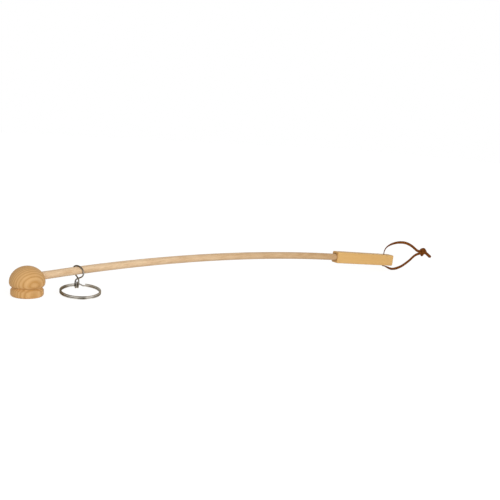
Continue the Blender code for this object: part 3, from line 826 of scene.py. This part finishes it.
class STICK_OT_ring(bpy.types.Operator):
    """Coil the flat wire of the split ring, with its step from one turn to the other"""

    bl_idname = "stick.ring"
    bl_label = "Split ring"

    def execute(self, context):
        wire = context.scene.stick_wire
        radius = (wire.ring_diameter - wire.ring_width) / 2
        pitch = wire.ring_thickness + wire.ring_gap
        reach, half = radius + wire.ring_diameter / 2, (pitch + wire.ring_thickness) / 2
        fall = math.asin(LINK_EYE.z / math.hypot(reach, half)) - math.atan2(half, reach)
        ahead = Matrix.Rotation(fall, 3, RING_TANGENT) @ Vector((RING_TANGENT.y, -RING_TANGENT.x, 0.0))
        axis = ahead.cross(RING_TANGENT)
        step = wire.ring_step / radius
        run = 2 * math.pi - (RING_END + 0.5) * step
        bm = bmesh.new()
        # the wire's section stands at +X and is swept round Z
        bmesh.ops.create_grid(bm, x_segments=1, y_segments=1, size=0.5)
        bmesh.ops.scale(bm, verts=bm.verts, vec=(wire.ring_width, wire.ring_thickness, 1.0))
        bmesh.ops.bevel(
            bm,
            geom=list(bm.verts),
            offset=RING_CORNER * wire.ring_thickness,
            affect="VERTICES",
            segments=RING_EDGE_STEPS,
            profile=0.5,
            material=-1,
        )
        upright = Matrix.Rotation(math.pi / 2, 3, "X")
        bmesh.ops.rotate(bm, verts=bm.verts, cent=(0, 0, 0), matrix=upright)
        bmesh.ops.translate(bm, verts=bm.verts, vec=(radius, 0, -pitch / 2))
        section = list(bm.faces)
        sweep = list({e for f in section for e in f.edges})
        sweep += list({v for f in section for v in f.verts})
        stretches = [(run, TURN_STEPS, 0.0)]
        for i in range(STEP_PARTS):
            low, high = (0.5 - 0.5 * math.cos(math.pi * at / STEP_PARTS) for at in (i, i + 1))
            stretches.append((step / STEP_PARTS, 1, (high - low) * pitch))
        stretches.append((run, TURN_STEPS, 0.0))
        for turn, steps, rise in stretches:
            swept = bmesh.ops.spin(
                bm,
                geom=sweep,
                cent=(0, 0, 0),
                axis=(0, 0, 1),
                angle=turn,
                steps=steps,
                dvec=(0, 0, rise / steps),
            )["geom_last"]
            sweep = [item for item in swept if not isinstance(item, bmesh.types.BMFace)]
        bmesh.ops.contextual_create(bm, geom=[e for e in sweep if isinstance(e, bmesh.types.BMEdge)])
        # the sweep starts just past the step, which lies beside the eye
        start = math.pi / 2 - wire.ring_step_place + RING_END * step
        bmesh.ops.rotate(bm, verts=bm.verts, cent=(0, 0, 0), matrix=Matrix.Rotation(start, 3, "Z"))
        turn = Matrix((RING_TANGENT, -ahead, axis)).transposed().to_4x4()
        place = Matrix.Translation(LINK_EYE + ahead * radius) @ turn
        bmesh.ops.transform(bm, verts=bm.verts, matrix=place)
        piece = bpy.data.objects.new("coiled_ring", mesh_from(bm, "coiled_ring", RING_SHARP))
        material = steel_finish("ring_steel", context.scene.stick_colours)
        finish_piece(piece, RING, material, ["split_ring"])
        return {"FINISHED"}


class STICK_OT_lace(bpy.types.Operator):
    """Lay the leather lace through the handle and tie its knot"""

    bl_idname = "stick.lace"
    bl_label = "Leather lace"

    def execute(self, context):
        wood, lace = context.scene.stick_wood, context.scene.stick_lace
        material = lace_finish(context.scene.stick_colours)
        hole = lace_hole(wood)
        knot = Vector((hole.x, 0.0, 0.0)) + Vector(LACE_KNOT_PLACE)
        thin = lace.lace_thickness / 2
        flat = lace.lace_width / 2 - thin
        # the knot is a strand that goes over and under itself three times
        strand = lace.lace_width / 2
        wide = (lace.knot_length / 2 - strand) / KNOT_ACROSS
        tall = (lace.knot_height - 2 * strand) / KNOT_UPRIGHT
        lean = Matrix.Rotation(math.radians(KNOT_LEAN), 3, "Y")
        tied = []
        for i in range(KNOT_POINTS):
            t = 2 * math.pi * i / KNOT_POINTS
            across = math.sin(t) + 2 * math.sin(2 * t)
            up = math.cos(t) - 2 * math.cos(2 * t) + KNOT_LIFT
            spot = Vector((across * wide, -KNOT_WEAVE * strand * math.sin(3 * t), up * tall))
            tied.append(knot + lean @ spot)
        piece = wire_curve("tied_knot", tied, strand, KNOT_ROUND_STEPS, closed=True)
        tied_knot = finish_piece(piece, STICK, material, ["lace_knot"])
        # two ends leave the knot together
        fall = heading(-lace.tail_fall)
        spread = lace.lace_width * math.sin(lace.tail_fall - lace.tail_exit)
        reach = ((1 + KNOT_BULGE) * lace.knot_length + spread) / 2
        exit_place = knot + heading(-lace.tail_exit) * (reach + wood.seat_gap)
        for name, side, share in TAILS:
            start = exit_place + Vector((0, side * TAIL_APART * thin, 0))
            sag = Vector((0, side * TAIL_SPREAD, -TAIL_SAG))
            keys = [
                start - fall * TAIL_ROOT * lace.knot_length,
                start + fall * TAIL_BOW * lace.tail_length + sag * TAIL_BOW_SAG,
                start + fall * share * lace.tail_length + sag,
            ]
            points = smooth_route(keys, TAIL_POINT_STEP)
            piece = wire_curve(name, points, thin, LACE_ROUND_STEPS, flat)
            finish_piece(piece, STICK, material)
        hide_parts("lace_tail")
        for name, node, side, route, turns in (
            ("lace_over", "lace_upper_run", 1, LACE_UPPER_ROUTE, LACE_UPPER_TURN),
            ("lace_under", "lace_lower_run", -1, LACE_LOWER_ROUTE, LACE_LOWER_TURN),
        ):
            up = heading(handle_slope(wood) + math.pi / 2) * side
            mouth = hole + up * wood.handle_height / 2
            free = [Vector((hole.x, 0.0, 0.0)) + Vector(point) for point in route]
            beside = side * (thin + wood.seat_gap)
            entry = knot + Vector((-RUN_ROOT * lace.knot_length, beside, beside))
            inside = hole + up * wood.seat_gap / 2
            points = smooth_route([inside, mouth, *free, entry], LACE_POINT_STEP)
            piece = wire_curve(name, points, thin, LACE_ROUND_STEPS, flat, turns)
            finish_piece(piece, STICK, material, [node])
        return {"FINISHED"}


class STICK_OT_stage(bpy.types.Operator):
    """Set the white table, the light and the camera"""

    bl_idname = "stick.stage"
    bl_label = "Table, light and camera"

    def execute(self, context):
        scene = context.scene
        scene.view_settings.view_transform = "Standard"
        self.table(scene)
        self.light(scene)
        self.camera(scene)
        return {"FINISHED"}

    def table(self, scene):
        bm = bmesh.new()
        bmesh.ops.create_grid(bm, x_segments=1, y_segments=1, size=TABLE_SIZE)
        mesh = bpy.data.meshes.new("table_top")
        bm.to_mesh(mesh)
        bm.free()
        top = bpy.data.objects.new("table_top", mesh)
        scene.collection.objects.link(top)
        white = Finish("table_white", Roughness=0.9, Specular_IOR_Level=0.0)
        white.shader.inputs["Base Color"].default_value = (*scene.stick_colours.table, 1.0)
        # to the camera and to shiny pieces the table is white, with the stick's faint shadow
        rays = white.node("LightPath")
        seen = white.maths("ADD", rays["Is Camera Ray"], rays["Is Glossy Ray"])
        seen = white.maths("MINIMUM", white.maths("ADD", seen, rays["Is Transmission Ray"]), 1.0)
        place = white.node("TexCoord")["Object"]
        settings = {"operation": "DISTANCE"}
        reach = white.node("VectorMath", settings, i0=place, i1=TABLE_MIDDLE)["Value"]
        level = white.node(
            "MapRange",
            Value=reach,
            From_Min=NEAR_REACH,
            From_Max=FAR_REACH,
            To_Min=NEAR_WHITE,
            To_Max=1.0,
        )[0]
        glow = white.node("Emission", Color=(1, 1, 1, 1), Strength=level)[0]
        grey = (SHADOW_DEPTH, SHADOW_DEPTH, SHADOW_DEPTH, 1.0)
        shadow = white.node("BsdfDiffuse", Color=grey)[0]
        paper = white.node("AddShader", i0=glow, i1=shadow)[0]
        both = white.node("MixShader", i0=seen, i1=white.shader.outputs[0], i2=paper)[0]
        white.tree.links.new(both, white.tree.nodes["Material Output"].inputs["Surface"])
        mesh.materials.append(white.material)

    def light(self, scene):
        world = bpy.data.worlds.new("studio")
        scene.world = world
        world.use_nodes = True
        studio = Finish.of_world(world)
        rays = studio.node("LightPath")
        # a white backdrop stands behind the stick, and the room behind the camera is dim
        direction = studio.node("TexCoord")["Generated"]
        behind = studio.along(direction, BACKDROP_SIDE)
        mirrored = studio.node(
            "MapRange", Value=behind, From_Min=-0.1, From_Max=0.6, To_Min=DIM_ROOM, To_Max=1.0
        )[0]
        number = {"data_type": "FLOAT"}
        glossy = rays["Is Glossy Ray"]
        soft = studio.node("Mix", number, i0=glossy, i2=ROOM_LIGHT, i3=mirrored)[0]
        seen = studio.maths("MAXIMUM", rays["Is Camera Ray"], rays["Is Transmission Ray"])
        level = studio.node("Mix", number, i0=seen, i2=soft, i3=1.0)[0]
        studio.tree.links.new(level, studio.shader.inputs["Strength"])
        studio.shader.inputs["Color"].default_value = (1.0, 1.0, 1.0, 1.0)
        for name, place, size, power in LAMPS:
            lamp = bpy.data.lights.new(name, "AREA")
            lamp.size = size
            lamp.energy = power
            holder = bpy.data.objects.new(name, lamp)
            holder.location = place
            # mirrored lamps would hide the bright wire against the white table
            holder.visible_glossy = False
            aim = LAMP_TARGET - Vector(place)
            holder.rotation_euler = aim.to_track_quat("-Z", "Y").to_euler()
            scene.collection.objects.link(holder)

    def camera(self, scene):
        lens = bpy.data.cameras.new("photo_camera")
        lens.lens = CAMERA_LENS
        lens.sensor_width = CAMERA_SENSOR
        lens.clip_start = CAMERA_CLIP
        holder = bpy.data.objects.new("photo_camera", lens)
        back = CAMERA_RIGHT.cross(CAMERA_UP)
        turn = Matrix((CAMERA_RIGHT, CAMERA_UP, back)).transposed().to_4x4()
        holder.matrix_world = Matrix.Translation(CAMERA_PLACE) @ turn
        scene.collection.objects.link(holder)
        scene.camera = holder


class STICK_PT_panel(bpy.types.Panel):
    """Lists the stick's pieces and sizes"""

    bl_idname = "STICK_PT_panel"
    bl_label = "Wooden stick"
    bl_space_type = "VIEW_3D"
    bl_region_type = "UI"
    bl_category = "Stick"

    def draw(self, context):
        column = self.layout.column()
        for step in STEPS:
            column.operator(step.bl_idname)
        for group in GROUPS:
            values = getattr(context.scene, group)
            for key in values.bl_rna.properties.keys():
                if key not in {"rna_type", "name"}:
                    column.prop(values, key)


GROUPS = {
    "stick_wood": StickWoodSizes,
    "stick_wire": StickWireSizes,
    "stick_lace": StickLaceSizes,
    "stick_colours": StickColours,
}
STEPS = (
    STICK_OT_stage,
    STICK_OT_lace,
    STICK_OT_head,
    STICK_OT_rod,
    STICK_OT_handle,
    STICK_OT_link,
    STICK_OT_ring,
)


def register():
    for cls in (*GROUPS.values(), *STEPS, STICK_PT_panel):
        bpy.utils.register_class(cls)
    for name, cls in GROUPS.items():
        setattr(bpy.types.Scene, name, PointerProperty(type=cls))


def unregister():
    for name in GROUPS:
        delattr(bpy.types.Scene, name)
    for cls in (STICK_PT_panel, *reversed(STEPS), *GROUPS.values()):
        bpy.utils.unregister_class(cls)


def main():
    register()
    bpy.ops.stick.stage()
    bpy.ops.stick.lace()
    bpy.ops.stick.head()
    bpy.ops.stick.rod()
    bpy.ops.stick.handle()
    bpy.ops.stick.link()
    bpy.ops.stick.ring()


if __name__ == "__main__":
    main()
